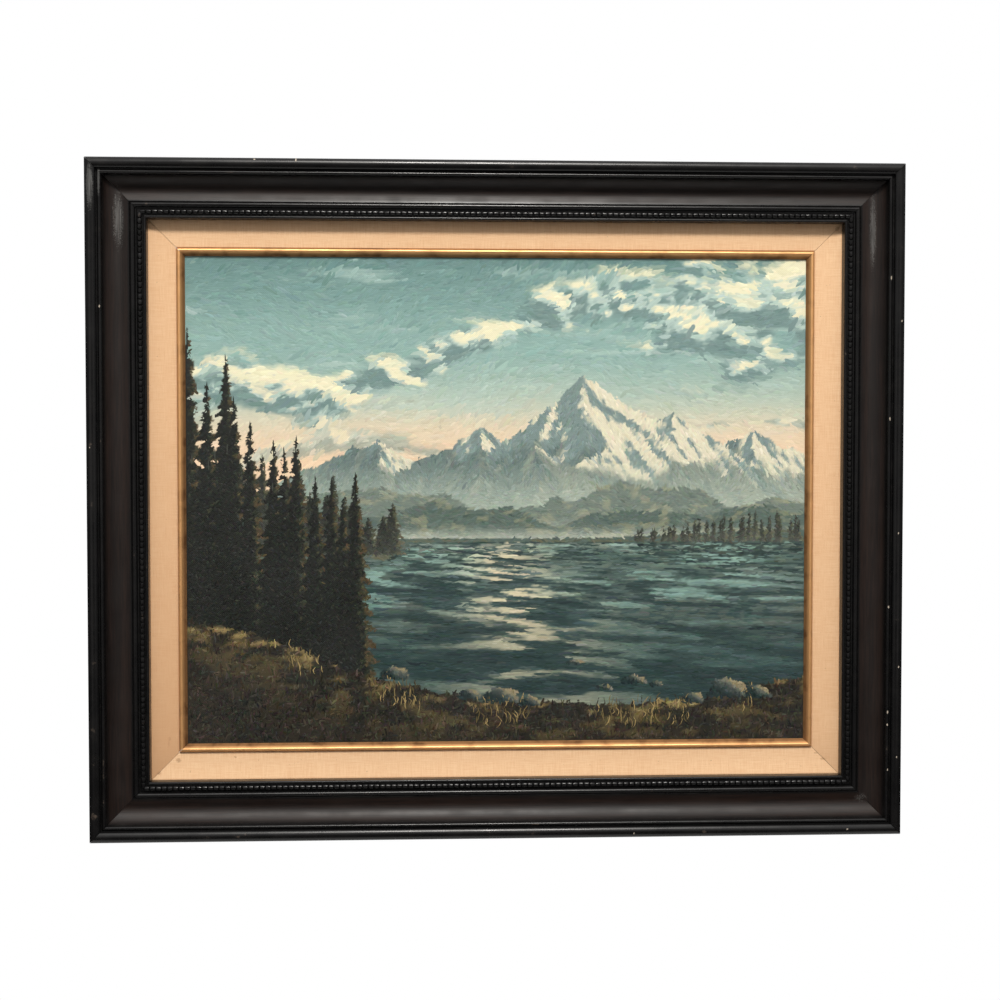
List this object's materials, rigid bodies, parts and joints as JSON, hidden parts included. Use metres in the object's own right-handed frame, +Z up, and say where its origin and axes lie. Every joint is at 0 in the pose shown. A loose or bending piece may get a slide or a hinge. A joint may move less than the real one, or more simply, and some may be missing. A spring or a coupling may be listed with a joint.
{
  "type": "framed oil painting",
  "caption": "Landscape-format oil painting on stretched canvas in an ebonised cove and bead frame with a linen liner and gilt sight fillet, to hang flat on a wall.",
  "frame": {"origin": "the middle of the flat back of the top rail, 28.5 mm below the frame's top edge, where the frame bears on the wall", "axes": "+X to the viewer's right, +Z up, +Y into the wall, so the picture faces -Y; the frame's back lies in the plane y = 0"},
  "size_m": [0.9046, 0.0595, 0.7516],
  "materials": {
    "ebonised_wood": "ebonised and waxed, satin, with a dark walnut tone in the cove",
    "linen": "plain-weave linen glued over the wooden liner",
    "gilt": "gilded, burnished along the crown and toned brown in the hollows",
    "painted_canvas": "oil paint on primed canvas under a satin varnish",
    "pine": "bare planed pine",
    "zinc_plate": "zinc-plated steel",
    "brass_plate": "brass-plated steel"
  },
  "bodies": {
    "root": {"top_rail": "ebonised_wood", "bottom_rail": "ebonised_wood", "left_rail": "ebonised_wood", "right_rail": "ebonised_wood", "liner_top": "linen", "liner_bottom": "linen", "liner_left": "linen", "liner_right": "linen", "fillet_top": "gilt", "fillet_bottom": "gilt", "fillet_left": "gilt", "fillet_right": "gilt", "canvas": "painted_canvas", "stretcher_top": "pine", "stretcher_bottom": "pine", "stretcher_left": "pine", "stretcher_right": "pine", "offset_clip_1": "zinc_plate", "offset_clip_2": "zinc_plate", "offset_clip_3": "zinc_plate", "offset_clip_4": "zinc_plate", "offset_clip_5": "zinc_plate", "offset_clip_6": "zinc_plate", "offset_clip_7": "zinc_plate", "offset_clip_8": "zinc_plate", "hanger_left": "brass_plate", "hanger_right": "brass_plate"}
  },
  "joints": []
}
